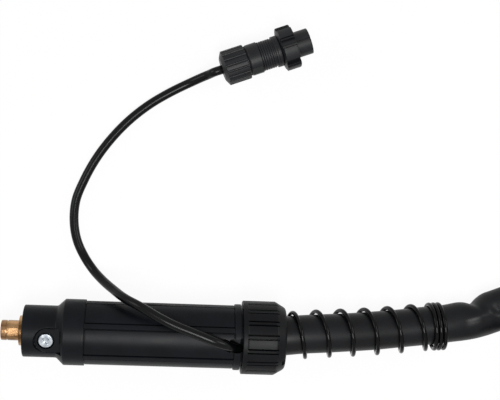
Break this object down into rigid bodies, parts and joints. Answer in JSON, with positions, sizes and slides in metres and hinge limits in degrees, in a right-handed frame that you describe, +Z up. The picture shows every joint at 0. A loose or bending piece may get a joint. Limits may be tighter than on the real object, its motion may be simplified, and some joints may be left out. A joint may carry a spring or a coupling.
{
  "type": "mig welding torch",
  "caption": "Gas-shielded welding torch with a machine plug, spring bend protector, separate control lead and connector, coiled hose and a swan-neck handle with trigger.",
  "frame": {"origin": "centre of the current pin where it meets its flange, on the plug's axis", "axes": "-X points out of the current pin, +X runs along the plug towards the hose, +Y points to the side the control lead loops to, +Z is up from the bench; the torch lies on a bench at z = -23.8 mm"},
  "size_m": [0.6527, 0.4415, 0.0519],
  "materials": {
    "brass": "bare turned brass",
    "zinc": "bright zinc plate",
    "housing_black": "satin moulded nylon",
    "nut_black": "satin moulded nylon",
    "dark_plastic": "moulded nylon",
    "cable_rubber": "rubber cable jacket",
    "copper": "bare copper",
    "liner_steel": "wound steel wire liner",
    "seal_rubber": "soft rubber",
    "spring_black": "black coated spring steel",
    "hose_rubber": "satin rubber hose jacket",
    "lead_black": "glossy PVC jacket",
    "connector_black": "satin moulded plastic",
    "handle_black": "fine grained plastic",
    "trigger_black": "smooth plastic",
    "switch_red": "moulded plastic",
    "button_white": "moulded plastic",
    "neck_black": "moulded insulation",
    "phenolic": "brown phenolic",
    "ceramic": "unglazed ceramic",
    "nozzle_nickel": "nickel plated copper"
  },
  "bodies": {
    "torch": {"current_pin": "brass", "connection_body": "brass", "nose_screw": "zinc", "housing": "housing_black", "spring_carrier": "dark_plastic", "power_cable_end": "cable_rubber", "crimp_ferrule": "copper", "wire_liner": "liner_steel", "lead_anchor": "seal_rubber", "bend_spring": "spring_black", "hose_plug_run": "hose_rubber", "hose_coil": "hose_rubber", "hose_handle_run": "hose_rubber", "control_lead": "lead_black", "gland_seal": "seal_rubber", "connector_barrel": "connector_black", "front_shell": "connector_black", "contact_insert": "dark_plastic", "contacts": "brass", "handle_left_shell": "handle_black", "handle_right_shell": "handle_black", "handle_screws": "zinc", "handle_gland": "seal_rubber", "handle_cable_end": "cable_rubber", "cable_joint": "brass", "trigger_pin": "zinc", "switch_body": "switch_red", "neck_tube": "copper", "neck_insulation": "neck_black", "neck_nut": "nut_black", "nozzle_insulator": "phenolic", "nozzle_clip": "zinc", "tip_holder": "brass", "gas_diffuser": "ceramic", "contact_tip": "copper"},
    "collar_nut": {"collar_nut": "nut_black"},
    "clamp_nut": {"clamp_nut": "connector_black"},
    "coupling_ring": {"coupling_ring": "connector_black"},
    "trigger": {"trigger": "trigger_black"},
    "switch_button": {"switch_button": "button_white"},
    "gas_nozzle": {"gas_nozzle": "nozzle_nickel"}
  },
  "joints": [
    {"name": "collar_nut_turn", "type": "hinge", "parent": "torch", "child": "collar_nut", "pos_m": [0.157, 0, 0], "axis": [1, 0, 0], "range_deg": [0, 720]},
    {"name": "clamp_nut_turn", "type": "hinge", "parent": "torch", "child": "clamp_nut", "pos_m": [0.13124, 0.17757, -0.0092], "axis": [-0.9342, -0.3567, 0], "range_deg": [0, 720]},
    {"name": "coupling_ring_turn", "type": "hinge", "parent": "torch", "child": "coupling_ring", "pos_m": [0.16861, 0.19184, -0.0092], "axis": [0.9342, 0.3567, 0], "continuous": true},
    {"name": "trigger_press", "type": "hinge", "parent": "torch", "child": "trigger", "pos_m": [0.204, -0.204, -0.0088], "axis": [0, 0, -1], "range_deg": [0, 4], "stiffness_Nm_per_rad": 0.6, "springref_deg": -2.86},
    {"name": "button_press", "type": "slide", "parent": "torch", "child": "switch_button", "axis": [0, -1, 0], "range_m": [0, 0.00185]},
    {"name": "nozzle_pull", "type": "slide", "parent": "torch", "child": "gas_nozzle", "axis": [-0.7071, 0.7071, 0], "range_m": [0, 0.03]}
  ],
  "couplings": [
    {"joint": "button_press", "follows": "trigger_press", "m_per_rad": 0.026}
  ]
}
